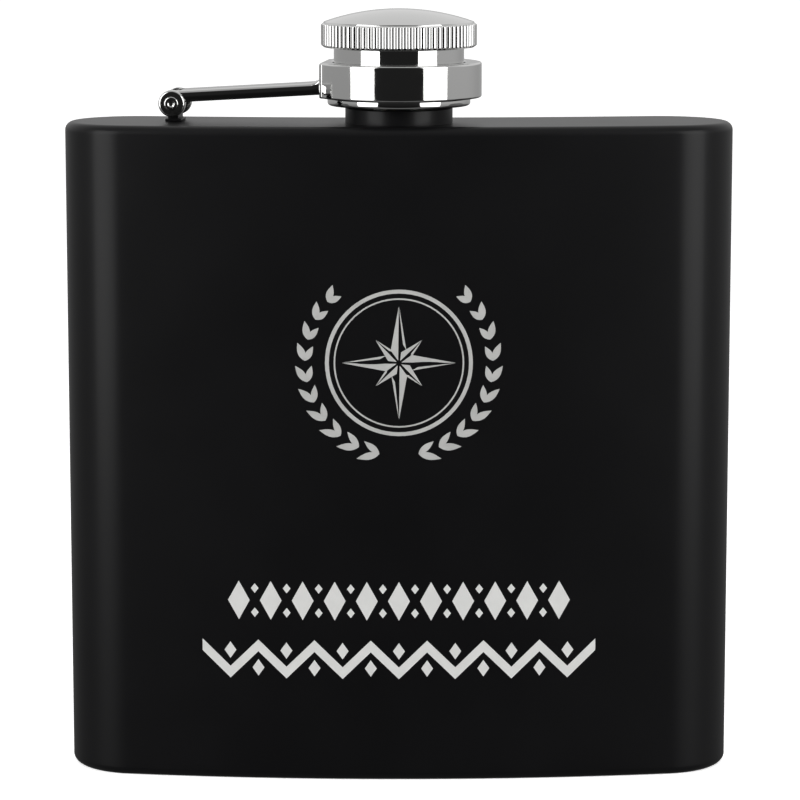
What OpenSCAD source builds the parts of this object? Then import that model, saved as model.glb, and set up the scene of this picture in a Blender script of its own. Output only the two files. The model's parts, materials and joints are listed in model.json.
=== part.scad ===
// Hip flask with a captive screw cap on a hinged strap.
// The origin is at the middle of the flask's base; the convex front faces -Y.

/* [Body] */
// Width of the body over its rounded ends
body_w = 95; // [78:1:130]
// Height of the body, from the base to its flat top
body_h = 93.3; // [60:0.1:130]
// Thickness of the body, front to back
body_t = 20; // [17:0.5:30]
// Radius of the hip curve, measured to the middle of the body
curve_r = 240; // [140:5:600]
// Thickness of the body's steel sheet
wall = 0.6; // [0.4:0.05:0.9]
// Outside radius of the top and bottom edges
edge_r = 1.25; // [1:0.05:2]
// Height of the rims that the top and bottom plates turn towards each other, up to the welds
rim_h = 2.2; // [2.1:0.1:5]
// Height of the panel pressed up into the base
panel_rise = 0.5; // [0.2:0.1:1.2]
// Width of the flat rim that the flask stands on
panel_rim = 2.6; // [1.5:0.1:4]

/* [Neck] */
// Radius of the neck at the root of its thread
neck_r = 6.2; // [5:0.05:7.5]
// Wall of the neck at the root of its thread
neck_wall = 0.95; // [0.6:0.05:1.2]
// Height of the neck above the body
neck_h = 8.8; // [7:0.1:11]
// How far the collar at the foot of the neck stands out from it
collar_lip = 1.4; // [0.8:0.05:1.8]
// Height of the collar
collar_h = 2.2; // [1.6:0.1:2.6]
// Depth of the neck's spigot below the body's top
spigot_h = 1.5; // [1.2:0.1:3]
// Distance from one turn of the thread to the next
pitch = 2; // [1.5:0.1:2.5]
// Height of the thread above its root
thread_d = 0.55; // [0.3:0.05:0.6]

/* [Cap] */
// How far the tips of the grip ridges stand out from the waist
head_lip = 1.8; // [1.5:0.05:4]
// Height of the band of grip ridges
grip_h = 3.6; // [2.5:0.1:8]
// Number of grip ridges
grip_n = 80; // [40:2:96]
// Depth of the grooves between the ridges
grip_d = 0.28; // [0.15:0.01:0.35]
// Height of the dome above the grip
dome_h = 1.75; // [0.8:0.05:4]
// Wall of the moulded liner, round the thread
liner_wall = 1.3; // [0.8:0.05:2]
// Length of waist left open between the strap's ring and the head
waist_gap = 2.1; // [0.5:0.1:4]
// Thickness of the cap's steel
cap_wall = 0.6; // [0.4:0.05:0.7]
// How far the retaining ring at the foot of the cap stands out from the waist
retainer_lip = 0.9; // [0.6:0.05:1.4]
// Height of the retaining ring
retainer_h = 1.05; // [0.6:0.05:2]
// Thickness of the gasket under the cap's roof
gasket_h = 1; // [0.5:0.1:1.5]

/* [Strap] */
// Thickness of the strap's ring, from its bore outwards
ring_wall = 2.25; // [1.5:0.05:3.5]
// Height of the strap's ring
ring_h = 4.95; // [3.5:0.05:6]
// Depth of the flat on the ring that carries the arm
ring_flat = 0.95; // [0.3:0.05:1.2]
// Width of the pad that squares off the ring's flat
pad_w = 11.4; // [8:0.2:14]
// Rounding of the pad's upright corners
pad_round = 0.8; // [0.4:0.1:1.2]
// Distance from the middle of the neck to the hinge pin
strap_l = 32; // [22:0.5:36]
// Angle of the strap behind the flask's long axis, seen from above
strap_turn = 6; // [0:0.5:10]
// Width of the arm
arm_w = 5.6; // [4.6:0.1:6.4]
// Thickness of the arm
arm_t = 1.7; // [1.2:0.05:2]
// Height of the arm's underside above the foot of the ring, where they meet
arm_seat = 0.35; // [0.1:0.05:1]
// Radius of the fillet between the arm's top and the ring
arm_fillet = 1.4; // [0.5:0.1:1.8]
// Rounding of the arm's long top edges
arm_round = 0.4; // [0.1:0.05:0.6]

/* [Hinge] */
// Height of the ears above the body's top
ear_clear = 0.7; // [0.6:0.05:1.5]
// Radius of the hinge pin
pin_r = 0.8; // [0.6:0.01:1]
// How far the pin's peened heads stand out from the pin
pin_head_lip = 0.2; // [0.15:0.05:0.4]
// Height of the pin's peened heads
pin_head_h = 0.25; // [0.15:0.05:0.5]
// How far the round ears at the end of the arm stand out from the knuckle
ear_lip = 0.45; // [0.35:0.05:0.8]
// Distance across the outer faces of the two ears
ear_w = 7; // [6.8:0.1:9]
// How far the ears stand above the top of the arm
ear_rise = 0.12; // [0.05:0.01:0.3]
// Thickness of each ear
ear_t = 1.3; // [1:0.1:1.6]
// Wall of the lug's knuckle round the pin
knuckle_wall = 0.6; // [0.4:0.05:1]
// Thickness of the lug's post
post_t = 1.5; // [1:0.1:1.6]
// Length of the lug's welded foot
foot_l = 2.3; // [1.8:0.1:4]
// Thickness of the lug's welded foot
foot_t = 0.4; // [0.3:0.05:0.6]

/* [Fits] */
// Radial clearance of the hinge pin in the lug; it is tight in the ears
pin_fit = 0.05; // [0.02:0.01:0.08]
// Gap between hinge parts that slide face to face
side_fit = 0.1; // [0.05:0.01:0.2]
// Radial gap between the cap's waist and the strap's ring
ring_fit = 0.25; // [0.15:0.05:0.4]
// Gap between the foot of the strap's ring and the retaining ring
seat_fit = 0.1; // [0.05:0.05:0.3]
// Radial clearance of the cap's bore over the thread's crest
thread_fit = 0.55; // [0.5:0.05:0.8]
// Gap between the neck's lip and the gasket
lip_fit = 0.05; // [0.05:0.05:0.2]
// Gap between the collar's top and the foot of the cap
cap_gap = 0.25; // [0.1:0.05:0.5]
// Radial gap around the neck's spigot, filled by the weld
weld_fit = 0.05; // [0.02:0.01:0.1]

/* [Hidden] */

// Facets of the hip curve, of round parts and of small round parts
arc_fn = 720;
round_fn = 96;
small_fn = 48;
$fn = round_fn;
over = 1;

// Radii that follow from the neck, outwards to the cap and the strap's ring
mouth_r = neck_r - neck_wall;
spigot_r = neck_r + 0.2;
collar_r = neck_r + collar_lip;
bore_r = neck_r + thread_d + thread_fit;
liner_r = bore_r + liner_wall;
waist_r = liner_r + cap_wall;
head_r = waist_r + head_lip;
retainer_r = waist_r + retainer_lip;
ring_bore_r = waist_r + ring_fit;
ring_r = ring_bore_r + ring_wall;
pad_r = ring_r - ring_flat;

// Radii and heights that follow from the hinge pin
pin_hole_r = pin_r + pin_fit;
pin_head_r = pin_r + pin_head_lip;
knuckle_r = pin_hole_r + knuckle_wall;
ear_r = knuckle_r + ear_lip;
hinge_z = ear_r + ear_clear;

// The body's plan: a band bent to curve_r with a full round end on each side
half_t = body_t / 2;
sweep_a = asin((body_w / 2 - half_t) / curve_r);
curve_rise = curve_r * (1 - cos(sweep_a));
// The ring may stand further forward than the body, and the origin is in the middle of both
front_y = max(half_t, ring_r);
back_y = curve_rise + half_t;
neck_y = (front_y - back_y) / 2;

// Heights of the cap's parts above the body's top
cap_z = collar_h + cap_gap;
retainer_top = cap_z + retainer_h;
ring_z = retainer_top + seat_fit;
head_z = ring_z + ring_h + waist_gap;
grip_top = head_z + grip_h;
gasket_z = neck_h + lip_fit;

// The dome is part of a sphere that stands on the grip's chamfered top edge
grip_chamfer = 0.3;
dome_foot_r = head_r - grip_d - grip_chamfer;
dome_r = (dome_foot_r * dome_foot_r + dome_h * dome_h) / (2 * dome_h);
dome_top = grip_top + dome_h;
head_wall_r = head_r - grip_d - cap_wall;
liner_top = dome_top - dome_r + sqrt(pow(dome_r - cap_wall, 2) - pow(liner_r, 2));

// The arm's underside passes above the pin and reaches the ring at arm_seat
flat_x = strap_l - pad_r;
arm_end_z = ring_z + arm_seat - hinge_z;
arm_reach = norm([flat_x, arm_end_z]);
arm_low = ear_r - ear_rise - arm_t;
arm_a = atan2(arm_end_z, flat_x) - asin(arm_low / arm_reach);
ear_gap = ear_w - 2 * ear_t;
lug_w = ear_gap - 2 * side_fit;
web_r = knuckle_r + 1.5 * side_fit;
web_start = post_t / 2 + 3.5 * side_fit;

// The neck's axis where it meets the body's top
module at_neck() translate([0, neck_y, body_h]) children();

// The hinge pin's axis, with +X towards the neck
module at_hinge() {
    at_neck() rotate([0, 0, -strap_turn]) translate([-strap_l, 0, hinge_z]) children();
}

// A bar along the hinge pin's axis
module along_pin(length, radius) {
    rotate([90, 0, 0]) cylinder(h = length, r = radius, center = true, $fn = small_fn);
}

// Carries a wall's profile round the right half of the body. Its X runs outwards from the middle.
module half_body() {
    intersection() {
        translate([0, neck_y + curve_r, 0])
            rotate([0, 0, sweep_a]) {
                rotate([0, 0, -90]) mirror([0, 1, 0])
                    rotate_extrude(angle = sweep_a + over, $fn = arc_fn)
                        translate([curve_r, 0]) {
                            children();
                            mirror([1, 0]) children();
                        }
                translate([0, -curve_r, 0]) rotate([0, 0, -90])
                    rotate_extrude(angle = 180)
                        children();
            }
        translate([0, -body_w, -over]) cube([body_w, 2 * body_w, body_h + 2 * over]);
    }
}

// Carries a wall's profile round the whole body
module round_body() {
    half_body() children();
    mirror([1, 0, 0]) half_body() children();
}

// Profile of a pressed plate: flat on top, turned down at its edge with a radius
module plate_edge(reach, height, radius) {
    square([reach - radius, height]);
    square([reach, height - radius]);
    intersection() {
        translate([reach - radius, height - radius]) circle(radius, $fn = small_fn);
        square([reach, height]);
    }
}

// The same plate as a sheet of the wall's thickness
module sheet_edge() {
    difference() {
        plate_edge(half_t, rim_h, edge_r);
        translate([0, -over]) plate_edge(half_t - wall, rim_h - wall + over, edge_r - wall);
    }
}

// Rolled sheet that makes the front, the back and the round ends
module body_wrap() {
    color("#1a1a1b")
        round_body()
            translate([half_t - wall, rim_h])
                square([wall, body_h - 2 * rim_h]);
}

// Pressed top with a hole for the neck
module top_plate() {
    color("#232324")
        difference() {
            round_body() translate([0, body_h - rim_h]) sheet_edge();
            at_neck() cylinder(h = 6 * wall, r = spigot_r + weld_fit, center = true);
        }
}

// Pressed base with a raised panel, so that the flask stands on its rim
module bottom_plate() {
    panel_r = half_t - edge_r - panel_rim;
    color("#1a1a1b")
        round_body() {
            difference() {
                union() {
                    translate([0, rim_h]) mirror([0, 1]) sheet_edge();
                    square([panel_r + wall, panel_rise + wall]);
                }
                translate([0, -over]) square([panel_r, panel_rise + over]);
            }
        }
}

// Threaded spout with a plain collar, welded into the top plate
module neck() {
    lip = 0.25;
    ridge = pitch * 0.3;
    first_ridge = collar_h + pitch * 0.8;
    turns = floor((neck_h - ridge - first_ridge) / pitch);
    color("silver")
        at_neck()
            rotate_extrude()
                difference() {
                    union() {
                        translate([0, -spigot_h]) square([spigot_r, spigot_h + over]);
                        square([collar_r - lip, collar_h]);
                        square([collar_r, collar_h - lip]);
                        translate([collar_r - lip, collar_h - lip]) circle(lip, $fn = small_fn);
                        square([neck_r - lip, neck_h]);
                        square([neck_r, neck_h - lip]);
                        translate([neck_r - lip, neck_h - lip]) circle(lip, $fn = small_fn);
                        for (turn = [0:turns])
                            translate([neck_r, first_ridge + turn * pitch])
                                polygon([
                                    [-thread_d, -ridge], [0, -ridge], [thread_d, -ridge / 4],
                                    [thread_d, ridge / 4], [0, ridge], [-thread_d, ridge]
                                ]);
                    }
                    translate([-over, -spigot_h - over]) square([mouth_r + over, neck_h + spigot_h + 2 * over]);
                }
}

// Lug that carries the hinge: a knuckle on a post with a foot welded to the top plate
module hinge_lug() {
    color("silver")
        at_hinge()
            difference() {
                union() {
                    along_pin(lug_w, knuckle_r);
                    translate([-post_t / 2, -lug_w / 2, -hinge_z]) cube([post_t, lug_w, hinge_z]);
                    translate([-foot_l / 2, -lug_w / 2, -hinge_z]) cube([foot_l, lug_w, foot_t]);
                }
                along_pin(lug_w + over, pin_hole_r);
            }
}

// Pin through the ears and the lug, peened over at both ends
module hinge_pin() {
    dome = pin_head_h * 0.4;
    color("gainsboro")
        at_hinge() {
            along_pin(ear_w, pin_r);
            for (side = [0, 180])
                rotate([0, 0, side]) rotate([90, 0, 0])
                    translate([0, 0, ear_w / 2]) {
                        cylinder(h = pin_head_h - dome, r = pin_head_r, $fn = small_fn);
                        translate([0, 0, pin_head_h - dome])
                            cylinder(h = dome, r1 = pin_head_r, r2 = pin_head_r - 2 * dome, $fn = small_fn);
                    }
        }
}

// The arm's bar, rounded along its top edges and cut off at the ring's flat
module arm_bar() {
    intersection() {
        rotate([0, -arm_a, 0])
            translate([0, 0, arm_low])
                rotate([90, 0, 90])
                    linear_extrude(arm_reach + over) {
                        translate([-arm_w / 2, 0]) square([arm_w, arm_t - arm_round]);
                        translate([arm_round - arm_w / 2, 0]) square([arm_w - 2 * arm_round, arm_t]);
                        for (side = [-1, 1])
                            translate([side * (arm_w / 2 - arm_round), arm_t - arm_round])
                                circle(arm_round, $fn = small_fn);
                    }
        translate([-over, -arm_w, -ear_r]) cube([flat_x + over, 2 * arm_w, 3 * ear_r + arm_end_z]);
    }
}

// Concave fillet where the top of the arm meets the ring's flat
module arm_fillet_block() {
    top_z = arm_end_z + arm_t / cos(arm_a);
    sink = arm_t / 3;
    rotate([90, 0, 0])
        linear_extrude(arm_w - 2 * arm_round, center = true)
            difference() {
                translate([flat_x - arm_fillet, top_z - sink]) square([arm_fillet, arm_fillet + sink]);
                translate([flat_x - arm_fillet, top_z + arm_fillet]) circle(arm_fillet, $fn = small_fn);
            }
}

// Arm of the strap: a bar that ends in two ears either side of the lug
module strap_arm() {
    color("gainsboro")
        at_hinge()
            difference() {
                union() {
                    arm_bar();
                    arm_fillet_block();
                    for (side = [-1, 1])
                        translate([0, side * (ear_w - ear_t) / 2, 0]) along_pin(ear_t, ear_r);
                }
                along_pin(ear_gap, web_r);
                translate([web_start - 2 * ear_r, -ear_gap / 2, -ear_r])
                    cube([2 * ear_r, ear_gap, 3 * ear_r]);
                along_pin(ear_w + over, pin_r);
            }
}

// Plan of the ring's pad, square to the arm and rounded at its two corners
module pad_outline() {
    translate([-pad_r, pad_round - pad_w / 2]) square([pad_r, pad_w - 2 * pad_round]);
    translate([pad_round - pad_r, -pad_w / 2]) square([pad_r - pad_round, pad_w]);
    for (side = [-1, 1])
        translate([pad_round - pad_r, side * (pad_w / 2 - pad_round)])
            circle(pad_round, $fn = small_fn);
}

// Ring of the strap that holds the cap's waist, with a flat pad for the arm
module strap_ring() {
    ease = 0.3;
    color("gainsboro")
        at_neck() rotate([0, 0, -strap_turn]) translate([0, 0, ring_z])
            difference() {
                union() {
                    difference() {
                        rotate_extrude() {
                            square([ring_r - ease, ring_h]);
                            translate([0, ease]) square([ring_r, ring_h - 2 * ease]);
                            for (z = [ease, ring_h - ease])
                                translate([ring_r - ease, z]) circle(ease, $fn = small_fn);
                        }
                        translate([-pad_r - ring_r, -ring_r, -over])
                            cube([ring_r, 2 * ring_r, ring_h + 2 * over]);
                    }
                    linear_extrude(ring_h) pad_outline();
                }
                translate([0, 0, -over]) cylinder(h = ring_h + 2 * over, r = ring_bore_r);
            }
}

// Outline of the grip: one pointed ridge for each groove
module grip_outline() {
    step = 360 / grip_n;
    polygon([
        for (i = [0:2 * grip_n - 1])
            let (r = i % 2 == 0 ? head_r : head_r - grip_d)
            [r * cos(i * step / 2), r * sin(i * step / 2)]
    ]);
}

// Knurled head and waist of the cap, pressed from one piece of steel
module cap_shell() {
    color("gainsboro")
        at_neck()
            difference() {
                union() {
                    translate([0, 0, head_z]) linear_extrude(grip_h - grip_chamfer) grip_outline();
                    translate([0, 0, cap_z]) cylinder(h = head_z - cap_z + over, r = waist_r);
                    translate([0, 0, grip_top - grip_chamfer])
                        cylinder(h = grip_chamfer, r1 = dome_foot_r + grip_chamfer / 2, r2 = dome_foot_r);
                    intersection() {
                        translate([0, 0, dome_top - dome_r]) sphere(dome_r, $fn = arc_fn / 2);
                        translate([0, 0, grip_top]) cylinder(h = dome_h + over, r = dome_foot_r);
                    }
                }
                translate([0, 0, cap_z - over]) cylinder(h = head_z - cap_z + 2 * over, r = liner_r);
                intersection() {
                    translate([0, 0, dome_top - dome_r]) sphere(dome_r - cap_wall, $fn = arc_fn / 2);
                    translate([0, 0, head_z + cap_wall]) cylinder(h = grip_h + dome_h, r = head_wall_r);
                }
            }
}

// Flat ring pressed on the foot of the waist, which keeps the strap's ring on the cap
module cap_retaining_ring() {
    ease = 0.3;
    color("gainsboro")
        at_neck() translate([0, 0, cap_z])
            rotate_extrude()
                difference() {
                    union() {
                        translate([0, ease]) square([retainer_r, retainer_h - ease]);
                        square([retainer_r - ease, retainer_h]);
                        translate([retainer_r - ease, ease]) circle(ease, $fn = small_fn);
                    }
                    translate([-over, -over]) square([waist_r + over, retainer_h + 2 * over]);
                }
}

// Moulded liner that fills the cap and goes over the neck's thread
module cap_liner() {
    color("white")
        at_neck()
            difference() {
                translate([0, 0, cap_z]) cylinder(h = liner_top - cap_z, r = liner_r);
                translate([0, 0, cap_z - over]) cylinder(h = gasket_z + gasket_h - cap_z + over, r = bore_r);
            }
}

// Soft disc that seals against the neck's lip
module cap_gasket() {
    color("whitesmoke")
        at_neck() translate([0, 0, gasket_z]) cylinder(h = gasket_h, r = bore_r);
}

body_wrap();
top_plate();
bottom_plate();
neck();
hinge_lug();
hinge_pin();
strap_arm();
strap_ring();
cap_shell();
cap_retaining_ring();
cap_liner();
cap_gasket();
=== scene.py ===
import json
import math

import bmesh
import bpy
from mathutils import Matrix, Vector


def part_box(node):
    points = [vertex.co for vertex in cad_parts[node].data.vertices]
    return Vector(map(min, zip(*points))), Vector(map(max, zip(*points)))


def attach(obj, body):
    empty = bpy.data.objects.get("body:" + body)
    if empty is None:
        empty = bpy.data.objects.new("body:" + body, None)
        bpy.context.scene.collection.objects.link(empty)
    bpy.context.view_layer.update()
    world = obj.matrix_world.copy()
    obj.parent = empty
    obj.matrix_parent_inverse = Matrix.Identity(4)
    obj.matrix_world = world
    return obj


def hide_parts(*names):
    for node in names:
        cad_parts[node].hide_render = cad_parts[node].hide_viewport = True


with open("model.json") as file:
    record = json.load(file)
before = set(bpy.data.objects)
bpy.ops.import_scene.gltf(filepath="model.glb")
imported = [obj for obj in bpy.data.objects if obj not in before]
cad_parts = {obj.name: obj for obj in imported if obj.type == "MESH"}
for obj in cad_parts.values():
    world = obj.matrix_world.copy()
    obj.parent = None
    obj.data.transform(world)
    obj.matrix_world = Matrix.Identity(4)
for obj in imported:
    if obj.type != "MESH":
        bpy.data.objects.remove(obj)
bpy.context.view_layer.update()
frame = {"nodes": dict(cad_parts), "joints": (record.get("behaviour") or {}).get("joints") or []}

# The hip flask stands on the floor with its convex front towards -Y.
# Lengths in the dictionaries are millimetres, as on the drawing.
mm = 0.001

joints = {joint["name"]: joint for joint in frame["joints"]}
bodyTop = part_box("top_plate")[1].z
spinPoint = Vector(joints["cap_spin"]["pos_m"])
neckAxis = Vector((spinPoint.x, spinPoint.y, bodyTop))
hingePoint = Vector(joints["strap_swing"]["pos_m"])
pinAxis = Vector(joints["strap_swing"]["axis"]).normalized()
hingeSide = math.atan2(hingePoint.y - neckAxis.y, hingePoint.x - neckAxis.x)
print("frame loaded, body top at", round(bodyTop / mm, 2), "mm")


# a long lens, a little above the flask and tilted down
camera = {"distance": 500, "aboveBody": 38.5, "right": 0.15, "tiltDown": 8.9, "lens": 159}

cameraData = bpy.data.cameras.new("studioCamera")
cameraData.lens = camera["lens"]
cameraData.clip_start = 0.02
cameraObject = bpy.data.objects.new("studioCamera", cameraData)
cameraObject.location = (
    neckAxis.x + camera["right"] * mm,
    neckAxis.y - camera["distance"] * mm,
    bodyTop + camera["aboveBody"] * mm,
)
cameraObject.rotation_euler = (math.radians(90 - camera["tiltDown"]), 0, 0)
bpy.context.scene.collection.objects.link(cameraObject)
bpy.context.scene.camera = cameraObject


def linear(hexColour):
    # sRGB hex to the linear colour that the shader sockets take
    parts = [int(hexColour[i:i + 2], 16) / 255 for i in (1, 3, 5)]
    return [c / 12.92 if c <= 0.04045 else ((c + 0.055) / 1.055) ** 2.4 for c in parts] + [1.0]


def addNode(tree, kind, settings, links=None):
    # one node with its settings and its incoming links
    made = tree.nodes.new(kind)
    for name, value in settings.items():
        if name == "stops":
            for i, (place, colour) in enumerate(value):
                stop = made.color_ramp.elements[i] if i < 2 else made.color_ramp.elements.new(place)
                stop.position, stop.color = place, colour
        elif isinstance(name, str) and hasattr(made, name):
            setattr(made, name, value)
        else:
            made.inputs[name].default_value = value
    for name, source in (links or {}).items():
        tree.links.new(source, made.inputs[name])
    return made


def newMaterial(name):
    material = bpy.data.materials.new(name)
    material.use_nodes = True
    material.node_tree.nodes.clear()
    return material, material.node_tree


def meshObject(name, points, faces, smoothBelow=32):
    # smoothBelow is the angle in degrees under which an edge is shaded round
    build = bmesh.new()
    corners = [build.verts.new(point) for point in points]
    for face in faces:
        build.faces.new([corners[i] for i in face])
    bmesh.ops.remove_doubles(build, verts=build.verts, dist=0.0005 * mm)
    bmesh.ops.recalc_face_normals(build, faces=build.faces)
    return bmeshObject(name, build, smoothBelow)


def bmeshObject(name, build, smoothBelow=32):
    mesh = bpy.data.meshes.new(name)
    build.to_mesh(mesh)
    build.free()
    made = bpy.data.objects.new(name, mesh)
    bpy.context.scene.collection.objects.link(made)
    shadeRound(made, smoothBelow)
    return made


def shadeRound(piece, smoothBelow):
    # wide faces keep their own normals, so that reflections only bend on the small radii
    mesh = piece.data
    mesh.polygons.foreach_set("use_smooth", [True] * len(mesh.polygons))
    mesh.set_sharp_from_angle(angle=math.radians(smoothBelow))
    weighted = piece.modifiers.new("evenNormals", "WEIGHTED_NORMAL")
    weighted.keep_sharp = True
    weighted.weight = 80
    applyModifiers(piece)


def loft(name, rows, joined=True, smoothBelow=32):
    # quads between closed rows of points; joined also links the last row to the first
    count = len(rows[0])
    faces = []
    for i in range(len(rows) if joined else len(rows) - 1):
        j = (i + 1) % len(rows)
        for k in range(count):
            n = (k + 1) % count
            faces.append((i * count + k, i * count + n, j * count + n, j * count + k))
    return meshObject(name, [point for row in rows for point in row], faces, smoothBelow)


def softCorners(corners, steps=5):
    # corners are (across, up, radius); each becomes an arc that touches both of its sides
    path = []
    for i, (across, up, radius) in enumerate(corners):
        here = Vector((across, up))
        if radius == 0:
            path.append(here)
            continue
        before = (Vector(corners[i - 1][:2]) - here).normalized()
        after = (Vector(corners[(i + 1) % len(corners)][:2]) - here).normalized()
        half = before.angle(after) / 2
        middle = here + (before + after).normalized() * radius / math.sin(half)
        start = here + before * radius / math.tan(half) - middle
        end = here + after * radius / math.tan(half) - middle
        sweep = start.angle(end)
        for k in range(steps + 1):
            t = k / steps
            path.append(middle + (start * math.sin((1 - t) * sweep) + end * math.sin(t * sweep)) / math.sin(sweep))
    return path


def turned(name, profile, steps=128, shape=None, smoothBelow=32):
    # a closed profile of (radius, height above the body) in mm, turned about the neck's axis
    # shape(radius, height, angle) may change the radius as it goes round
    rows = []
    for radius, height in profile:
        row = []
        for k in range(steps):
            angle = 2 * math.pi * k / steps
            reach = shape(radius, height, angle) if shape else radius
            offset = Vector((math.cos(angle) * reach, math.sin(angle) * reach, height)) * mm
            row.append(neckAxis + offset)
        rows.append(row)
    return loft(name, rows, True, smoothBelow)


def applyModifiers(piece):
    graph = bpy.context.evaluated_depsgraph_get()
    graph.update()
    finished = bpy.data.meshes.new_from_object(
        piece.evaluated_get(graph), preserve_all_data_layers=True, depsgraph=graph)
    piece.modifiers.clear()
    piece.data = finished


def assemble(piece, body, slot, material, *nodes):
    piece.data.materials.clear()
    piece.data.materials.append(material)
    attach(piece, body)
    if nodes:
        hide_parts(*nodes)
    return piece


# materials, each named after what it is and how it was made
coat = {
    "colour": "#0a0a0b",
    "patchColour": "#0c0c0d",
    "roughness": 0.4,     # the matting agent scatters most of the shine that epoxy would have
    "specular": 0.13,
    "skinWeight": 0.13,   # the thin clear skin that bakes out on top and gives the tighter sheen
    "skinRoughness": 0.22,
    "peel": 0.45,         # mm from one orange-peel hump to the next
    "peelHeight": 0.003,
    "grain": 0.16,        # mm, powder grains that did not quite level out
    "grainHeight": 0.0012,
}


def powderCoat():
    # epoxy powder, sprayed and baked: near black, satin, with a faint orange peel that
    # breaks the softboxes into broad soft bands
    material, tree = newMaterial("satinPowderCoat")
    place = addNode(tree, "ShaderNodeTexCoord", {}).outputs["Object"]
    cloud = addNode(tree, "ShaderNodeTexNoise", {"Scale": 1 / (14 * mm), "Detail": 3}, {"Vector": place})
    colour = addNode(
        tree, "ShaderNodeValToRGB",
        {"stops": [(0.35, linear(coat["colour"])), (0.68, linear(coat["patchColour"]))]},
        {"Fac": cloud.outputs["Fac"]},
    )
    gloss = addNode(
        tree, "ShaderNodeMapRange",
        {"From Min": 0.3, "From Max": 0.7, "To Min": coat["roughness"] - 0.008, "To Max": coat["roughness"] + 0.012},
        {"Value": cloud.outputs["Fac"]},
    )
    peel = addNode(
        tree, "ShaderNodeTexNoise", {"Scale": 1 / (coat["peel"] * mm), "Detail": 1.5, "Roughness": 0.4},
        {"Vector": place},
    )
    grain = addNode(
        tree, "ShaderNodeTexNoise", {"Scale": 1 / (coat["grain"] * mm), "Detail": 1},
        {"Vector": place},
    )
    humps = addNode(
        tree, "ShaderNodeBump", {"Strength": 1.0, "Distance": coat["peelHeight"] * mm},
        {"Height": peel.outputs["Fac"]},
    )
    grains = addNode(
        tree, "ShaderNodeBump", {"Strength": 1.0, "Distance": coat["grainHeight"] * mm},
        {"Height": grain.outputs["Fac"], "Normal": humps.outputs["Normal"]},
    )
    skin = addNode(
        tree, "ShaderNodeBsdfPrincipled",
        {"IOR": 1.5, "Metallic": 0.0, "Specular IOR Level": coat["specular"],
         "Coat Weight": coat["skinWeight"], "Coat Roughness": coat["skinRoughness"]},
        {"Base Color": colour.outputs["Color"], "Roughness": gloss.outputs["Result"],
         "Normal": grains.outputs["Normal"]},
    )
    addNode(tree, "ShaderNodeOutputMaterial", {}, {"Surface": skin.outputs["BSDF"]})
    return material


chrome = {
    "colour": "#cfcfce",
    "roughness": 0.045,
    "lineSpacing": 0.25,  # mm; real buffing lines are near 0.02 mm, drawn coarser so that they show
    "lineHeight": 0.00006,
}


def buffedChrome():
    # chrome over buffed steel: a mirror that is a little clouded where the mop went round
    material, tree = newMaterial("buffedChromePlate")
    place = addNode(tree, "ShaderNodeTexCoord", {}).outputs["Object"]
    flat = addNode(tree, "ShaderNodeMapping", {"Scale": (0.12, 0.12, 1.0)}, {"Vector": place})
    lines = addNode(
        tree, "ShaderNodeTexNoise", {"Scale": 1 / (chrome["lineSpacing"] * mm), "Detail": 2},
        {"Vector": flat.outputs["Vector"]},
    )
    cloud = addNode(tree, "ShaderNodeTexNoise", {"Scale": 1 / (3 * mm), "Detail": 3}, {"Vector": place})
    gloss = addNode(
        tree, "ShaderNodeMapRange",
        {"From Min": 0.35, "From Max": 0.75, "To Min": chrome["roughness"] - 0.015,
         "To Max": chrome["roughness"] + 0.035},
        {"Value": cloud.outputs["Fac"]},
    )
    scratch = addNode(
        tree, "ShaderNodeBump", {"Strength": 1.0, "Distance": chrome["lineHeight"] * mm},
        {"Height": lines.outputs["Fac"]},
    )
    skin = addNode(
        tree, "ShaderNodeBsdfPrincipled", {"Metallic": 1.0, "Base Color": linear(chrome["colour"])},
        {"Roughness": gloss.outputs["Result"], "Normal": scratch.outputs["Normal"]},
    )
    addNode(tree, "ShaderNodeOutputMaterial", {}, {"Surface": skin.outputs["BSDF"]})
    return material


etch = {"roughness": 0.42, "hatch": 0.09}


def laserEtch(name, darkColour, paleColour):
    # stainless steel bared by a laser: pale, matte, with the hatch of the beam's passes
    material, tree = newMaterial(name)
    place = addNode(tree, "ShaderNodeTexCoord", {}).outputs["Object"]
    hatch = addNode(
        tree, "ShaderNodeTexWave",
        {"bands_direction": "DIAGONAL", "Scale": 0.05 / (etch["hatch"] * mm), "Distortion": 0.6},
        {"Vector": place},
    )
    cloud = addNode(tree, "ShaderNodeTexNoise", {"Scale": 1 / (2.5 * mm), "Detail": 3}, {"Vector": place})
    tone = addNode(
        tree, "ShaderNodeValToRGB",
        {"stops": [(0.3, linear(darkColour)), (0.75, linear(paleColour))]},
        {"Fac": cloud.outputs["Fac"]},
    )
    relief = addNode(
        tree, "ShaderNodeBump", {"Strength": 0.5, "Distance": 0.002 * mm}, {"Height": hatch.outputs["Fac"]},
    )
    skin = addNode(
        tree, "ShaderNodeBsdfPrincipled", {"Metallic": 0.15, "Roughness": etch["roughness"]},
        {"Base Color": tone.outputs["Color"], "Normal": relief.outputs["Normal"]},
    )
    addNode(tree, "ShaderNodeOutputMaterial", {}, {"Surface": skin.outputs["BSDF"]})
    return material


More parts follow.
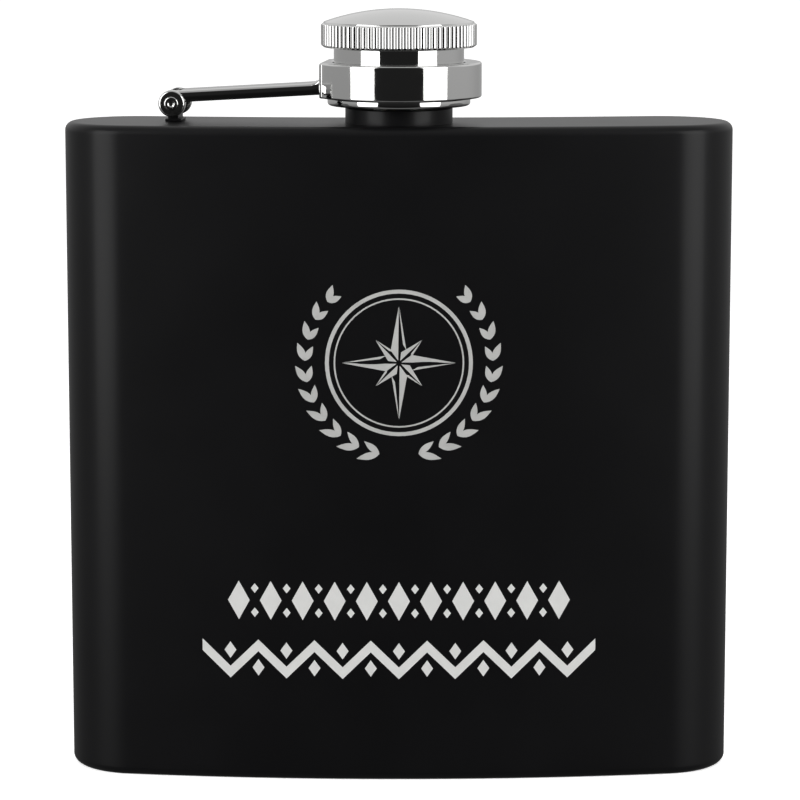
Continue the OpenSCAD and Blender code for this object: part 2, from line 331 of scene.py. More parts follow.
def turnedSteel():
    # stainless steel as the lathe left it: bright, with fine rings from the tool
    material, tree = newMaterial("turnedStainlessSteel")
    place = addNode(tree, "ShaderNodeTexCoord", {}).outputs["Object"]
    flat = addNode(tree, "ShaderNodeMapping", {"Scale": (0.03, 0.03, 1.0)}, {"Vector": place})
    rings = addNode(
        tree, "ShaderNodeTexNoise", {"Scale": 1 / (0.12 * mm), "Detail": 2},
        {"Vector": flat.outputs["Vector"]},
    )
    cut = addNode(
        tree, "ShaderNodeBump", {"Strength": 1.0, "Distance": 0.0008 * mm},
        {"Height": rings.outputs["Fac"]},
    )
    gloss = addNode(
        tree, "ShaderNodeMapRange", {"To Min": 0.2, "To Max": 0.32}, {"Value": rings.outputs["Fac"]},
    )
    skin = addNode(
        tree, "ShaderNodeBsdfPrincipled", {"Metallic": 1.0, "Base Color": linear("#c4c2bd")},
        {"Roughness": gloss.outputs["Result"], "Normal": cut.outputs["Normal"]},
    )
    addNode(tree, "ShaderNodeOutputMaterial", {}, {"Surface": skin.outputs["BSDF"]})
    return material


def mouldedPlastic():
    # natural polypropylene, injection moulded: milky, soft edged, a little waxy
    material, tree = newMaterial("mouldedPolypropylene")
    place = addNode(tree, "ShaderNodeTexCoord", {}).outputs["Object"]
    flow = addNode(tree, "ShaderNodeTexNoise", {"Scale": 1 / (4 * mm), "Detail": 2}, {"Vector": place})
    tone = addNode(
        tree, "ShaderNodeValToRGB", {"stops": [(0.3, linear("#d9d8d2")), (0.7, linear("#e6e5e0"))]},
        {"Fac": flow.outputs["Fac"]},
    )
    spark = addNode(tree, "ShaderNodeTexNoise", {"Scale": 1 / (0.2 * mm), "Detail": 1}, {"Vector": place})
    relief = addNode(
        tree, "ShaderNodeBump", {"Strength": 0.6, "Distance": 0.003 * mm},
        {"Height": spark.outputs["Fac"]},
    )
    skin = addNode(
        tree, "ShaderNodeBsdfPrincipled",
        {"IOR": 1.49, "Roughness": 0.42, "Subsurface Weight": 0.15, "Subsurface Scale": 0.5 * mm},
        {"Base Color": tone.outputs["Color"], "Normal": relief.outputs["Normal"]},
    )
    addNode(tree, "ShaderNodeOutputMaterial", {}, {"Surface": skin.outputs["BSDF"]})
    return material


def siliconeSeal():
    # die-cut silicone sheet: dull, slightly translucent, with the press cloth's fine weave
    material, tree = newMaterial("dieCutSilicone")
    place = addNode(tree, "ShaderNodeTexCoord", {}).outputs["Object"]
    weave = addNode(tree, "ShaderNodeTexVoronoi", {"Scale": 1 / (0.3 * mm)}, {"Vector": place})
    relief = addNode(
        tree, "ShaderNodeBump", {"Strength": 0.5, "Distance": 0.004 * mm},
        {"Height": weave.outputs["Distance"]},
    )
    cloud = addNode(tree, "ShaderNodeTexNoise", {"Scale": 1 / (3 * mm), "Detail": 2}, {"Vector": place})
    tone = addNode(
        tree, "ShaderNodeValToRGB", {"stops": [(0.3, linear("#bdbcb6")), (0.7, linear("#cbcac4"))]},
        {"Fac": cloud.outputs["Fac"]},
    )
    skin = addNode(
        tree, "ShaderNodeBsdfPrincipled", {"IOR": 1.41, "Roughness": 0.6},
        {"Base Color": tone.outputs["Color"], "Normal": relief.outputs["Normal"]},
    )
    addNode(tree, "ShaderNodeOutputMaterial", {}, {"Surface": skin.outputs["BSDF"]})
    return material


coatMaterial = powderCoat()
chromeMaterial = buffedChrome()
bandEtchMaterial = laserEtch("laserEtchedSteel", "#cdcdcb", "#d4d4d2")
emblemEtchMaterial = laserEtch("laserEtchedSteelLight", "#a9a9a7", "#b6b6b4")
steelMaterial = turnedSteel()
plasticMaterial = mouldedPlastic()
siliconeMaterial = siliconeSeal()
print("materials ready")


# body: rolled wrap, pressed top and pressed base, welded and ground flush
body = {
    "thickness": 20,
    "hipRadius": 240,     # to the middle of the body
    "sheet": 0.6,
    "edgeRadius": 1.25,
    "rimHeight": 2.2,     # where the plates meet the wrap
    "standingRim": 2.6,
    "panelRise": 0.5,
    "neckHole": 6.45,
    "frontSteps": 72,
    "endSteps": 32,
}

bodyLow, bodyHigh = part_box("body_wrap")
bodyHeight = bodyTop / mm
hipCentre = neckAxis.y + body["hipRadius"] * mm
endHalf = body["thickness"] / 2
hipSweep = math.asin(((bodyHigh.x - bodyLow.x) / 2 / mm - endHalf) / body["hipRadius"])


def bodyRow(inset, height):
    # the body's plan, set in by a distance: front hip arc, right end, back hip arc, left end
    row = []
    radius = body["hipRadius"]
    for side, reach in ((1, radius + endHalf - inset), (-1, radius - endHalf + inset)):
        for k in range(body["frontSteps"]):
            angle = side * hipSweep * (2 * k / body["frontSteps"] - 1)
            row.append((reach * math.sin(angle), -reach * math.cos(angle)))
        middle = Vector((side * radius * math.sin(hipSweep), -radius * math.cos(hipSweep)))
        start = -math.pi / 2 + hipSweep if side == 1 else math.pi / 2 - hipSweep
        for k in range(body["endSteps"]):
            turn = start + math.pi * k / body["endSteps"]
            row.append((middle.x + (endHalf - inset) * math.cos(turn), middle.y + (endHalf - inset) * math.sin(turn)))
    return [Vector((x * mm, hipCentre + y * mm, height * mm)) for x, y in row]


def sheetPart(name, profile, filled=False, hole=0):
    # a pressed sheet: rows of the body's plan, closed by a flat face with a hole if asked for
    rows = [bodyRow(inset, height) for inset, height in profile]
    build = bmesh.new()
    loops = [[build.verts.new(point) for point in row] for row in rows]
    count = len(rows[0])
    for lower, upper in zip(loops, loops[1:]):
        for k in range(count):
            n = (k + 1) % count
            build.faces.new((lower[k], lower[n], upper[n], upper[k]))
    if filled:
        edges = [build.edges.get((loops[-1][k], loops[-1][(k + 1) % count])) for k in range(count)]
        if hole:
            level = rows[-1][0].z
            ring = []
            for k in range(96):
                angle = 2 * math.pi * k / 96
                ring.append(build.verts.new((
                    neckAxis.x + hole * mm * math.cos(angle), neckAxis.y + hole * mm * math.sin(angle), level)))
            edges += [build.edges.new((ring[k], ring[(k + 1) % 96])) for k in range(96)]
        bmesh.ops.triangle_fill(build, use_beauty=True, edges=edges)
    bmesh.ops.recalc_face_normals(build, faces=build.faces)
    middle = Vector((0, neckAxis.y, bodyTop / 2))
    build.faces.ensure_lookup_table()
    first = build.faces[0]
    if first.normal.dot(first.calc_center_median() - middle) < 0:
        bmesh.ops.reverse_faces(build, faces=build.faces)
    piece = bmeshObject(name, build)
    thicken = piece.modifiers.new("sheet", "SOLIDIFY")
    thicken.thickness = body["sheet"] * mm
    thicken.offset = -1
    thicken.use_even_offset = True
    applyModifiers(piece)
    shadeRound(piece, 32)
    return piece


rim = body["rimHeight"]
edge = body["edgeRadius"]
wrapRows = [(0, rim + (bodyHeight - 2 * rim) * k / 12) for k in range(13)]
topRows = [(0, bodyHeight - rim)]
topRows += [(edge - edge * math.cos(math.radians(a)), bodyHeight - edge + edge * math.sin(math.radians(a)))
            for a in range(0, 91, 10)]
topRows += [(edge + 1.2, bodyHeight)]
panelIn = edge + body["standingRim"]
baseRows = [(0, rim)]
baseRows += [(edge - edge * math.cos(math.radians(a)), edge - edge * math.sin(math.radians(a)))
             for a in range(0, 91, 10)]
baseRows += [(panelIn - 0.3, 0), (panelIn, 0.06), (panelIn + 0.25, 0.2), (panelIn + 0.5, body["panelRise"] - 0.06),
             (panelIn + 0.8, body["panelRise"])]

assemble(sheetPart("bodyWrap", wrapRows), "flask", "black_powder_coat", coatMaterial, "body_wrap")
topPlate = sheetPart("topPlate", topRows, True, body["neckHole"])
assemble(topPlate, "flask", "black_powder_coat", coatMaterial, "top_plate")
assemble(sheetPart("basePlate", baseRows, True), "flask", "black_powder_coat", coatMaterial, "bottom_plate")
print("body pressed")


# neck: coated collar, bare rolled thread
neck = {
    "spigotRadius": 6.4, "spigotDepth": 1.5,
    "collarRadius": 7.6, "collarHeight": 2.2,
    "rootRadius": 6.2, "height": 8.8, "mouthRadius": 5.25,
    "threadDepth": 0.55, "pitch": 2.0, "threadStart": 3.5, "threadTurns": 2.1,
    "crest": 0.2,         # half of the crest's width, as a share of the pitch
    "foot": 0.32,
}


def threadAt(height, angle, start, turns):
    # how far the thread stands at a place, from 0 in the root to 1 on the crest
    share = angle / (2 * math.pi)
    lap = round((height - start) / neck["pitch"] - share)
    along = lap + share
    if along < 0 or along > turns:
        return 0
    away = abs(height - start - along * neck["pitch"]) / neck["pitch"]
    flank = min(1, max(0, (neck["foot"] - away) / (neck["foot"] - neck["crest"] * 0.5)))
    runOut = min(1, along / 0.18, (turns - along) / 0.18)
    return flank * math.sin(runOut * math.pi / 2)


def neckShape(radius, height, angle):
    if abs(radius - neck["rootRadius"]) > 0.001:
        return radius
    return radius + neck["threadDepth"] * threadAt(height, angle, neck["threadStart"], neck["threadTurns"])


threadLow, threadHigh = 2.75, neck["height"] - 0.35
threadRows = 52
neckProfile = softCorners([
    (neck["mouthRadius"], -neck["spigotDepth"], 0),
    (neck["spigotRadius"], -neck["spigotDepth"], 0),
    (neck["spigotRadius"], 0, 0),
    (neck["collarRadius"], 0, 0),
    (neck["collarRadius"], neck["collarHeight"], 0.25),
    (neck["rootRadius"], neck["collarHeight"], 0.1),
])
neckProfile += [Vector((neck["rootRadius"], threadLow + (threadHigh - threadLow) * k / threadRows))
                for k in range(threadRows + 1)]
neckProfile += softCorners([
    (neck["rootRadius"], threadHigh, 0),
    (neck["rootRadius"], neck["height"], 0.25),
    (neck["mouthRadius"], neck["height"], 0.25),
    (neck["mouthRadius"], 0, 0),
])[1:-1]
neckPiece = turned("neck", neckProfile, 128, neckShape, 40)
assemble(neckPiece, "flask", "black_powder_coat", coatMaterial, "neck")
neckPiece.data.materials.append(steelMaterial)
bareAbove = bodyTop + (neck["collarHeight"] + 0.15) * mm
for face in neckPiece.data.polygons:
    radial = math.hypot(face.center.x - neckAxis.x, face.center.y - neckAxis.y) / mm
    if face.center.z > bareAbove or radial < neck["mouthRadius"] + 0.1:
        face.material_index = 1
print("neck threaded")


# hinge: lug welded to the top, riveted pin
hinge = {"pinRadius": 0.8, "headRadius": 1.0, "headHeight": 0.25, "earsAcross": 7.0, "dimple": 0.12}


def cleanCopy(name, node, soften, steps=2):
    # a CAD node's shape with its edges eased, as tumbling leaves them
    build = bmesh.new()
    build.from_mesh(frame["nodes"][node].data)
    bmesh.ops.remove_doubles(build, verts=build.verts, dist=0.001 * mm)
    bmesh.ops.dissolve_limit(build, angle_limit=math.radians(0.8), verts=build.verts, edges=build.edges)
    bmesh.ops.recalc_face_normals(build, faces=build.faces)
    piece = bmeshObject(name, build, 30)
    ease = piece.modifiers.new("ease", "BEVEL")
    ease.width = soften * mm
    ease.segments = steps
    ease.limit_method = "ANGLE"
    ease.angle_limit = math.radians(30)
    ease.use_clamp_overlap = True
    ease.harden_normals = False
    applyModifiers(piece)
    shadeRound(piece, 40)
    return piece


assemble(cleanCopy("hingeLug", "hinge_lug", 0.12), "flask", "black_powder_coat", coatMaterial, "hinge_lug")


def onHinge(along, across, up):
    # along runs from the pin to the neck, across runs along the pin
    toNeck = Vector((-math.cos(hingeSide), -math.sin(hingeSide), 0))
    return hingePoint + (toNeck * along + pinAxis * across + Vector((0, 0, up))) * mm


def aboutPin(name, outline, steps=48, smoothBelow=32):
    # a closed outline of (radius, place along the pin), turned about the pin
    rows = []
    for radius, across in outline:
        angles = [2 * math.pi * k / steps for k in range(steps)]
        rows.append([onHinge(math.cos(a) * radius, across, math.sin(a) * radius) for a in angles])
    return loft(name, rows, True, smoothBelow)


def rivetPin():
    end = hinge["earsAcross"] / 2
    head = end + hinge["headHeight"]
    outline = softCorners([
        (0, head - hinge["dimple"], 0),
        (0.32, head - hinge["dimple"], 0.15),
        (0.5, head, 0.12),
        (hinge["headRadius"], head, 0.16),
        (hinge["headRadius"], end, 0),
        (hinge["pinRadius"], end, 0),
    ], 4)
    outline += [Vector((across, -up)) for across, up in reversed(outline)]
    return aboutPin("hingePin", outline)


assemble(rivetPin(), "strap", "polished_steel", chromeMaterial, "hinge_pin")


# arm of the strap: a forged bar with soft edges that ends in two round ears
arm = {
    "width": 5.6, "thickness": 1.7, "slope": 3.42, "low": 0.08,
    "topEase": 0.55, "lowEase": 0.3, "sideEase": 2.0, "crown": 0.07,
    "fillet": 1.4, "earRadius": 1.9, "earThickness": 1.3, "earEase": 0.32,
    "webRadius": 1.6, "webStart": 1.1,
}


def merge(piece, other, operation):
    join = piece.modifiers.new("join", "BOOLEAN")
    join.operation = operation
    join.solver = "EXACT"
    join.object = other
    applyModifiers(piece)
    bpy.data.objects.remove(other, do_unlink=True)


def armPiece():
    slope = math.radians(arm["slope"])
    length = (hingePoint - neckAxis).xy.length / mm - padReach
    half = arm["width"] / 2
    topEnd = length * math.tan(slope) + (arm["low"] + arm["thickness"]) / math.cos(slope)
    stations = [(0.0, 0.2), (0.08, 0.08), (0.3, 0.0), (length / 2, 0.0)]
    stations += [(length - arm["fillet"] * (1 - math.sin(math.radians(a))), 0.0) for a in range(0, 86, 5)]
    rows = []
    for along, inset in stations:
        low = along * math.tan(slope) + arm["low"] / math.cos(slope) + inset
        top = along * math.tan(slope) + (arm["low"] + arm["thickness"]) / math.cos(slope) - inset
        into = along - (length - arm["fillet"])
        if into > 0:
            curve = topEnd + arm["fillet"] - math.sqrt(arm["fillet"] ** 2 - into ** 2)
            top = max(top, curve)
        side, middle = half - arm["crown"] - inset, (low + top) / 2
        section = softCorners([
            (-side, low, arm["lowEase"] - inset), (side, low, arm["lowEase"] - inset),
            (half - inset, middle, arm["sideEase"]),
            (side, top, arm["topEase"] - inset), (-side, top, arm["topEase"] - inset),
            (inset - half, middle, arm["sideEase"]),
        ], 6)
        rows.append([onHinge(along, across, up) for across, up in section])
    count = len(rows[0])
    faces = [(i * count + k, i * count + (k + 1) % count, (i + 1) * count + (k + 1) % count, (i + 1) * count + k)
             for i in range(len(rows) - 1) for k in range(count)]
    faces += [tuple(range(count)), tuple(range((len(rows) - 1) * count, len(rows) * count))]
    bar = meshObject("strapArm", [point for row in rows for point in row], faces, 30)
    outer = hinge["earsAcross"] / 2
    inner = outer - arm["earThickness"]
    slot = [(arm["webStart"] - 4, -3), (arm["webStart"], -3), (arm["webStart"], 4), (arm["webStart"] - 4, 4)]
    points = [onHinge(u, v, w) for v in (-inner, inner) for u, w in slot]
    quads = [(0, 1, 2, 3), (4, 5, 6, 7), (0, 1, 5, 4), (1, 2, 6, 5), (2, 3, 7, 6), (3, 0, 4, 7)]
    merge(bar, meshObject("slot", points, quads), "DIFFERENCE")
    web = [(0, -inner), (arm["webRadius"], -inner), (arm["webRadius"], inner), (0, inner)]
    merge(bar, aboutPin("web", web), "DIFFERENCE")
    for side in (-1, 1):
        ear = softCorners([
            (0, side * inner, 0), (arm["earRadius"], side * inner, 0.12),
            (arm["earRadius"], side * outer, arm["earEase"]), (0, side * outer, 0),
        ], 7)
        merge(bar, aboutPin("ear", ear, 72), "UNION")
    hole = [(0, -outer - 1), (hinge["pinRadius"], -outer - 1), (hinge["pinRadius"], outer + 1), (0, outer + 1)]
    merge(bar, aboutPin("hole", hole), "DIFFERENCE")
    shadeRound(bar, 28)
    return bar


print("hinge riveted")


# strap ring, squared off by a pad where the arm joins
strapRing = {"boreRadius": 9.45, "flat": 0.95, "padWidth": 11.4, "padRound": 0.8, "outerEase": 0.28, "boreEase": 0.18}

ringLow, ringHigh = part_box("strap_ring")
ringRadius = (ringHigh.x - neckAxis.x) / mm
padReach = ringRadius - strapRing["flat"]


def ringReach(angle, inset):
    # from the middle to the outside, set in by a distance; angle 0 points to the hinge
    facing, aside = math.cos(angle), abs(math.sin(angle))
    arc = ringRadius - inset
    if facing < 0.6:
        return arc
    flat = (padReach - inset) / facing
    cornerX = padReach - strapRing["padRound"]
    cornerY = strapRing["padWidth"] / 2 - strapRing["padRound"]
    radius = strapRing["padRound"] - inset
    if aside * flat < cornerY:
        return flat
    along = cornerX * facing + cornerY * aside
    left = along * along - cornerX * cornerX - cornerY * cornerY + radius * radius
    corner = along + math.sqrt(left) if left > 0 else 0
    return max(min(arc, flat), min(corner, flat))


def strapRingPiece():
    foot = (ringLow.z - bodyTop) / mm
    top = (ringHigh.z - bodyTop) / mm
    profile = softCorners([
        (strapRing["boreRadius"], foot, strapRing["boreEase"]),
        (ringRadius, foot, strapRing["outerEase"]),
        (ringRadius, top, strapRing["outerEase"]),
        (strapRing["boreRadius"], top, strapRing["boreEase"]),
    ], 9)
    # the pad's corners need finer steps than the round
    angles = [math.radians(a) for a in range(-18, 18, 2)]
    angles += [math.radians(18 + 0.25 * k) for k in range(56)]
    angles += [math.radians(a) for a in range(32, 328, 2)]
    angles += [math.radians(328 + 0.25 * k) for k in range(56)]
    rows = []
    for radius, height in profile:
        row = []
        for angle in angles:
            inset = ringRadius - radius
            reach = ringReach(angle, inset) if inset < 0.5 else radius
            turn = angle + hingeSide
            row.append(neckAxis + Vector((math.cos(turn) * reach, math.sin(turn) * reach, height)) * mm)
        rows.append(row)
    return loft("strapRing", rows, True, 14)


assemble(strapRingPiece(), "strap", "polished_steel", chromeMaterial, "strap_ring")
assemble(armPiece(), "strap", "polished_steel", chromeMaterial, "strap_arm")
print("strap ring turned")


# cap: knurled steel shell, retaining ring, threaded liner, gasket
cap = {
    "ridges": 80, "ridgeDepth": 0.28, "pointsPerRidge": 12,
    "gripHeight": 3.6, "domeHeight": 1.75, "rimChamfer": 0.3,
    "steel": 0.6, "waistRadius": 9.2, "linerRadius": 8.6,
    "linerThread": 0.42, "ringEase": 0.3,
}

shellLow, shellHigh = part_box("cap_shell")
capFoot = (shellLow.z - bodyTop) / mm
domeTop = (shellHigh.z - bodyTop) / mm
gripTop = domeTop - cap["domeHeight"]
headFoot = gripTop - cap["gripHeight"]
headRadius = (shellHigh.x - shellLow.x) / 2 / mm


def capShellPiece():
    foot = headRadius - cap["ridgeDepth"] - cap["rimChamfer"]
    rise = cap["domeHeight"]
    sphere = (foot * foot + rise * rise) / (2 * rise)
    wall = cap["steel"]
    ridgeStep = 2 * math.pi * headRadius / cap["ridges"]
    depth = cap["ridgeDepth"]
    beadRadius = (ridgeStep * ridgeStep / 4 + depth * depth) / (2 * depth)
    outer = softCorners([
        (cap["linerRadius"], capFoot, 0),
        (cap["waistRadius"], capFoot, 0.15),
        (cap["waistRadius"], capFoot + 0.2, 0),
        (cap["waistRadius"], headFoot - 0.2, 0),
        (cap["waistRadius"], headFoot, 0.15),
        (headRadius - 1.1, headFoot, 0),
    ], 4)
    # the grip: heights are close together where the ridges run out
    for up in (0, 0.05, 0.12, 0.2, 0.3, 0.45, 0.8, 1.4, 2.0, 2.5, 2.85, 3.0, 3.1, 3.18, 3.26, 3.34):
        outer.append(Vector((headRadius, headFoot + up)))
    outer += softCorners([
        (foot + 0.24, gripTop - 0.24, 0), (foot + 0.18, gripTop - 0.06, 0.08), (foot - 0.05, gripTop + 0.01, 0),
    ], 4)
    for k in range(1, 21):
        reach = (foot - 0.05) * (1 - k / 20)
        outer.append(Vector((reach, domeTop - sphere + math.sqrt(sphere * sphere - reach * reach))))
    inner = []
    inside = sphere - wall
    for k in range(0, 9):
        reach = (foot - wall - 0.3) * k / 8
        inner.append(Vector((reach, domeTop - sphere + math.sqrt(inside * inside - reach * reach))))
    inner.append(Vector((foot - wall - 0.3, headFoot + wall)))
    inner.append(Vector((cap["linerRadius"], headFoot + wall)))

    def ridged(radius, height, angle):
        if abs(radius - headRadius) > 0.0001:
            return radius
        # each ridge is a rounded bead and the grooves between them are sharp
        phase = (angle * cap["ridges"] / (2 * math.pi) + 0.5) % 1 - 0.5
        ridge = headRadius - beadRadius + math.sqrt(beadRadius ** 2 - (phase * ridgeStep) ** 2)
        lower = headRadius - cap["ridgeDepth"] - 0.1 + (height - headFoot) * 1.25
        upper = foot + 0.24 + (gripTop - 0.24 - height) * 1.6
        return min(ridge, lower, upper)

    return turned("capShell", outer + inner, cap["ridges"] * cap["pointsPerRidge"], ridged, 28)


assemble(capShellPiece(), "cap", "polished_steel", chromeMaterial, "cap_shell")

ringLowZ = (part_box("cap_retaining_ring")[0].z - bodyTop) / mm
ringTopZ = (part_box("cap_retaining_ring")[1].z - bodyTop) / mm
retainerRadius = (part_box("cap_retaining_ring")[1].x - neckAxis.x) / mm
retainer = turned("capRetainingRing", softCorners([
    (cap["waistRadius"], ringLowZ, 0.12),
    (retainerRadius, ringLowZ, cap["ringEase"] + 0.1),
    (retainerRadius, ringTopZ, 0.12),
    (cap["waistRadius"], ringTopZ, 0),
], 6), 160, None, 20)
assemble(retainer, "cap", "polished_steel", chromeMaterial, "cap_retaining_ring")

gasketLow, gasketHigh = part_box("cap_gasket")
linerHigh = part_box("cap_liner")[1]
boreRadius = (gasketHigh.x - gasketLow.x) / 2 / mm
roofZ = (gasketHigh.z - bodyTop) / mm
sealZ = (gasketLow.z - bodyTop) / mm


def linerShape(radius, height, angle):
    if abs(radius - boreRadius) > 0.001 or height > sealZ - 0.4:
        return radius
    start = neck["threadStart"] - neck["pitch"] / 2
    return radius - cap["linerThread"] * threadAt(height, angle, start, 2.6)


linerRows = 48
linerProfile = softCorners([
    (boreRadius, capFoot + 0.05, 0.2),
    (cap["linerRadius"], capFoot + 0.05, 0.1),
    (cap["linerRadius"], (linerHigh.z - bodyTop) / mm, 0.1),
    (0, (linerHigh.z - bodyTop) / mm, 0),
    (0, roofZ, 0),
    (boreRadius, roofZ, 0),
], 4)
linerProfile += [Vector((boreRadius, sealZ - (sealZ - capFoot - 0.35) * k / linerRows)) for k in range(linerRows + 1)]
assemble(turned("capLiner", linerProfile, 128, linerShape, 40), "cap", "liner_plastic", plasticMaterial, "cap_liner")

# the lip of the neck leaves a shallow ring in the seal
lipPress = (neck["mouthRadius"] + neck["rootRadius"]) / 2
gasketProfile = softCorners([
    (0, roofZ, 0),
    (boreRadius, roofZ, 0.1),
    (boreRadius, sealZ, 0.12),
    (lipPress + 0.55, sealZ, 0.12),
    (lipPress + 0.4, sealZ + 0.08, 0.08),
    (lipPress - 0.4, sealZ + 0.08, 0.08),
    (lipPress - 0.55, sealZ, 0.12),
    (0, sealZ, 0),
], 4)
assemble(turned("capGasket", gasketProfile, 96), "cap", "gasket_silicone", siliconeMaterial, "cap_gasket")
print("cap assembled")


# laser marking on the front: a compass rose in a wreath and two ornamental bands
mark = {
    "skin": 0.02,         # mm that the marking stands out of the coat, so that it never flickers
    "line": 0.55,
    "roseHeight": 60.3, "roseRadius": 9.2, "wreathRadius": 13.2,
    "bandTop": 26.2, "bandLow": 17.7, "bandHeight": 5.6,
}

frontRadius = (body["hipRadius"] + endHalf) * mm
shapes = []               # each is a list of (along, up) in mm, anticlockwise as seen


def onFront(along, up, lift):
    turn = along * mm / frontRadius
    reach = frontRadius + lift * mm
    return Vector((reach * math.sin(turn), hipCentre - reach * math.cos(turn), up * mm))


def lozenge(along, up, width, height):
    shapes.append([
        (along - width / 2, up), (along, up - height / 2), (along + width / 2, up), (along, up + height / 2),
    ])


def leaf(along, up, length, width, heading):
    # a pointed oval that grows from (along, up)
    ahead = Vector((math.cos(heading), math.sin(heading)))
    across = Vector((-ahead.y, ahead.x))
    root = Vector((along, up))
    lower, upper = [], []
    for k in range(9):
        t = k / 8
        spread = width / 2 * math.sin(math.pi * t ** 0.85)
        lower.append(root + ahead * length * t - across * spread)
        upper.append(root + ahead * length * t + across * spread)
    shapes.append([(p.x, p.y) for p in lower + upper[-2:0:-1]])


def ringLine(radius, width, up, parts=72):
    for k in range(parts):
        a, b = 2 * math.pi * k / parts, 2 * math.pi * (k + 1) / parts
        inside, outside = radius - width / 2, radius + width / 2
        shapes.append([
            (inside * math.cos(a), up + inside * math.sin(a)), (outside * math.cos(a), up + outside * math.sin(a)),
            (outside * math.cos(b), up + outside * math.sin(b)), (inside * math.cos(b), up + inside * math.sin(b)),
        ])


def compassRose():
    middle = mark["roseHeight"]
    long, short, waist = 8.0, 4.6, 1.7
    for k in range(8):
        tip = long if k % 2 == 0 else short
        width = waist if k % 2 == 0 else waist * 0.72
        a = math.pi * k / 4
        ahead = Vector((math.cos(a), math.sin(a)))
        across = Vector((-ahead.y, ahead.x))
        hub = ahead * 0.35
        shoulder = ahead * width * 1.05 + across * width * 0.62
        thin = ahead * width * 1.05 - across * width * 0.62
        point = ahead * tip
        gap = across * 0.1
        shapes.append([(p.x, middle + p.y) for p in (hub + gap, point + gap * 0.2, shoulder + gap)])
        # the shaded half of each point is drawn as an outline
        rib = ahead * (width * 1.05 + 0.9) - across * (width * 0.62 - 0.5)
        shapes.append([(p.x, middle + p.y) for p in (thin, point - gap * 0.2, point - ahead * 1.1 - gap, rib)])


def wreath():
    middle = mark["roseHeight"]
    reach = mark["wreathRadius"]
    for side in (-1, 1):
        for k in range(10):
            spot = math.radians(-90 + side * (12 + 13.2 * k))
            along, up = reach * math.cos(spot), middle + reach * math.sin(spot)
            grow = spot + side * math.radians(90)
            size = 3.3 - 0.09 * k
            leaf(along, up, size, 1.05, grow - side * math.radians(24))
            leaf(along, up, size * 0.85, 0.95, grow + side * math.radians(28))


def bands():
    # a row of lozenges over a row of chevrons with small lozenges in their bays
    count, pitch = 11, 4.55
    for k in range(count):
        along = (k - (count - 1) / 2) * pitch
        lozenge(along, mark["bandTop"], 3.1, mark["bandHeight"])
        if k < count - 1:
            for side in (-1, 1):
                lozenge(along + pitch / 2, mark["bandTop"] + side * 1.75, 1.1, 1.4)
    count, pitch, thick = 14, 4.0, 0.85
    rise = mark["bandHeight"] / 2 - thick
    for k in range(count):
        left = (k - count / 2) * pitch
        lean = 1 if k % 2 else -1
        start, end = mark["bandLow"] - lean * rise, mark["bandLow"] + lean * rise
        shapes.append([
            (left, start - thick), (left + pitch, end - thick), (left + pitch, end + thick), (left, start + thick),
        ])
        if k < count - 1:
            lozenge(left + pitch, mark["bandLow"] - lean * 1.25, 1.7, 2.4)


def markingPiece(name):
    build = bmesh.new()
    for outline in shapes:
        centre = (sum(p[0] for p in outline) / len(outline), sum(p[1] for p in outline) / len(outline))
        top = [build.verts.new(onFront(x, y, mark["skin"])) for x, y in outline]
        low = [build.verts.new(onFront(x, y, -mark["skin"])) for x, y in outline]
        topMiddle = build.verts.new(onFront(*centre, mark["skin"]))
        lowMiddle = build.verts.new(onFront(*centre, -mark["skin"]))
        for k in range(len(outline)):
            n = (k + 1) % len(outline)
            build.faces.new((top[k], top[n], topMiddle))
            build.faces.new((low[n], low[k], lowMiddle))
            build.faces.new((low[k], low[n], top[n], top[k]))
    bmesh.ops.recalc_face_normals(build, faces=build.faces)
    return bmeshObject(name, build, 20)


compassRose()
ringLine(mark["roseRadius"] + 0.9, mark["line"], mark["roseHeight"])
ringLine(mark["roseRadius"] - 0.15, 0.22, mark["roseHeight"])
wreath()
assemble(markingPiece("frontEmblem"), "flask", "polished_steel", emblemEtchMaterial)
shapes.clear()
bands()
assemble(markingPiece("frontBands"), "flask", "polished_steel", bandEtchMaterial)
print("marking etched")


# studio: pale floor that rises into a wall, softboxes either side, dark behind the camera
studio = {
    "floorColour": "#f4f4f4", "floorGlow": 0.55,
    "panelAngle": 52, "panelRise": 14, "panelDistance": 0.75, "panelWidth": 0.5, "panelHeight": 0.66,
    "panelPower": 3.4, "fillPower": 2.6,
    "backGrey": 0.46, "frontGrey": 0.02, "skyGrey": 0.34, "sideGrey": 0.12, "topGrey": 0.1,
    "lowShade": 0.35,     # how much of the grey is left towards the floor
}


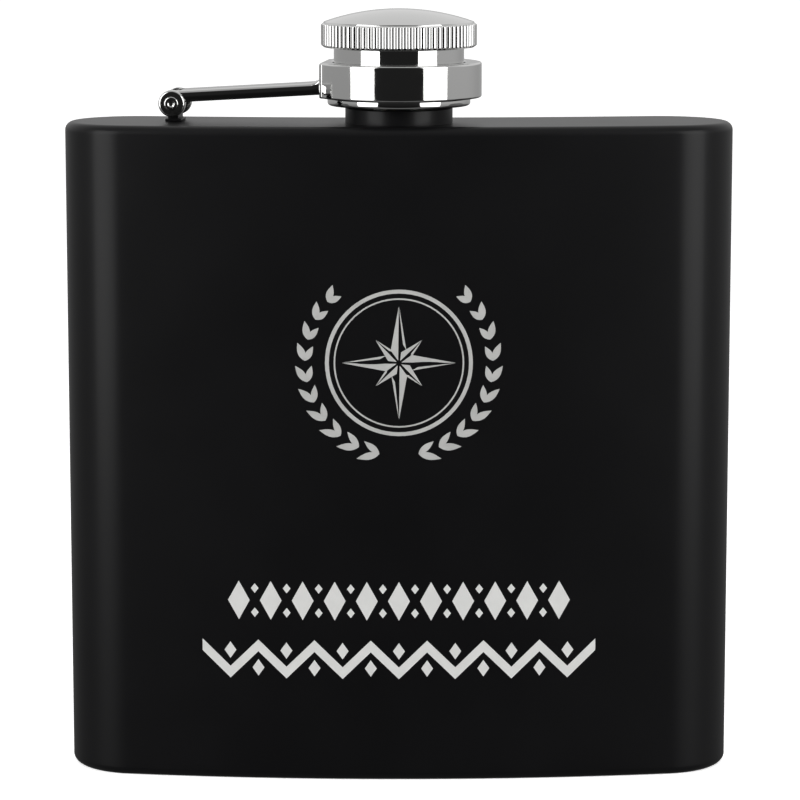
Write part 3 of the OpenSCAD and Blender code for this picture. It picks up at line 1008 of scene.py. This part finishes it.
def paleStage():
    material, tree = newMaterial("palePaperSweep")
    place = addNode(tree, "ShaderNodeTexCoord", {}).outputs["Object"]
    fibre = addNode(tree, "ShaderNodeTexNoise", {"Scale": 1 / (1.5 * mm), "Detail": 2}, {"Vector": place})
    relief = addNode(
        tree, "ShaderNodeBump", {"Strength": 0.2, "Distance": 0.02 * mm},
        {"Height": fibre.outputs["Fac"]},
    )
    skin = addNode(
        tree, "ShaderNodeBsdfPrincipled",
        {"Base Color": linear(studio["floorColour"]), "Roughness": 0.9, "Specular IOR Level": 0.1,
         "Emission Color": (1, 1, 1, 1), "Emission Strength": studio["floorGlow"]},
        {"Normal": relief.outputs["Normal"]},
    )
    addNode(tree, "ShaderNodeOutputMaterial", {}, {"Surface": skin.outputs["BSDF"]})
    # the floor is flat out to its radius, bends up and goes on as a wall, all in metres
    floorRadius, bend, wallHeight = 2.2, 0.8, 3.0
    profile = [(0.001, 0), (0.4, 0), (floorRadius, 0)]
    for a in range(10, 91, 10):
        turn = math.radians(a)
        profile.append((floorRadius + bend * math.sin(turn), bend - bend * math.cos(turn)))
    profile.append((floorRadius + bend, wallHeight))
    rows = [[Vector((r * math.cos(2 * math.pi * k / 96), r * math.sin(2 * math.pi * k / 96), z)) for k in range(96)]
            for r, z in profile]
    sweep = loft("paperSweep", rows, False, 60)
    sweep.data.materials.append(material)
    # it only catches light and shadow, so the black coat keeps its dark surroundings
    sweep.visible_glossy = False
    sweep.visible_diffuse = False
    sweep.visible_shadow = False


def softbox(name, azimuth, elevation, width, height, power, shows=True):
    # azimuth is measured from the front, towards +X; shows is whether mirrors see the panel
    data = bpy.data.lights.new(name, "AREA")
    data.shape = "RECTANGLE"
    data.size, data.size_y = width, height
    data.energy = power
    light = bpy.data.objects.new(name, data)
    a, e = math.radians(azimuth), math.radians(elevation)
    aim = Vector((0, 0, bodyTop * 0.7))
    away = Vector((math.sin(a) * math.cos(e), -math.cos(a) * math.cos(e), math.sin(e)))
    light.location = aim + away * studio["panelDistance"]
    light.rotation_euler = away.to_track_quat("Z", "Y").to_euler()
    light.visible_camera = False
    light.visible_glossy = shows
    bpy.context.scene.collection.objects.link(light)


def studioWorld():
    # dark behind the camera and soft grey elsewhere, as a room with black flags in front
    world = bpy.data.worlds.new("studioRoom")
    bpy.context.scene.world = world
    world.use_nodes = True
    tree = world.node_tree
    tree.nodes.clear()
    place = addNode(tree, "ShaderNodeTexCoord", {}).outputs["Generated"]
    split = addNode(tree, "ShaderNodeSeparateXYZ", {}, {"Vector": place})
    # each row is an axis, where the tone starts and ends along it, and the two tones
    tones = [
        ("Y", -0.86, -0.62, studio["frontGrey"], studio["backGrey"]),
        ("X", 0.55, 1.0, 0.0, studio["sideGrey"]),
        ("Z", 0.6, 0.95, 0.0, studio["topGrey"]),
    ]
    total = None
    for axis, low, high, start, end in tones:
        ramp = addNode(
            tree, "ShaderNodeMapRange", {"interpolation_type": "SMOOTHSTEP", "From Min": low, "From Max": high,
                                         "To Min": start, "To Max": end},
            {"Value": split.outputs[axis]},
        )
        links = {0: ramp.outputs["Result"]}
        if total:
            links[1] = total.outputs["Value"]
        total = addNode(tree, "ShaderNodeMath", {"operation": "ADD", 1: 0.0}, links)
    # the wall behind brightens upwards
    behind = addNode(
        tree, "ShaderNodeMapRange", {"interpolation_type": "SMOOTHSTEP", "From Min": -0.1, "From Max": 0.4},
        {"Value": split.outputs["Y"]},
    )
    upwards = addNode(
        tree, "ShaderNodeMapRange", {"interpolation_type": "SMOOTHSTEP", "From Min": 0.02, "From Max": 0.22,
                                     "To Max": studio["skyGrey"]},
        {"Value": split.outputs["Z"]},
    )
    total = addNode(
        tree, "ShaderNodeMath", {"operation": "MULTIPLY_ADD"},
        {0: behind.outputs["Result"], 1: upwards.outputs["Result"], 2: total.outputs["Value"]},
    )
    lower = addNode(
        tree, "ShaderNodeMapRange", {"interpolation_type": "SMOOTHSTEP", "From Min": -0.3, "From Max": 0.02,
                                     "To Min": studio["lowShade"], "To Max": 1.0},
        {"Value": split.outputs["Z"]},
    )
    light = addNode(
        tree, "ShaderNodeBackground", {}, {"Color": total.outputs["Value"], "Strength": lower.outputs["Result"]},
    )
    addNode(tree, "ShaderNodeOutputWorld", {}, {"Surface": light.outputs["Background"]})


paleStage()
studioWorld()
for side in (-1, 1):
    softbox(f"sideSoftbox{side}", side * studio["panelAngle"], studio["panelRise"],
            studio["panelWidth"], studio["panelHeight"], studio["panelPower"])
softbox("frontFill", 0, 25, 0.5, 0.3, studio["fillPower"], False)
bpy.context.scene.view_settings.view_transform = "Standard"
print("studio lit")
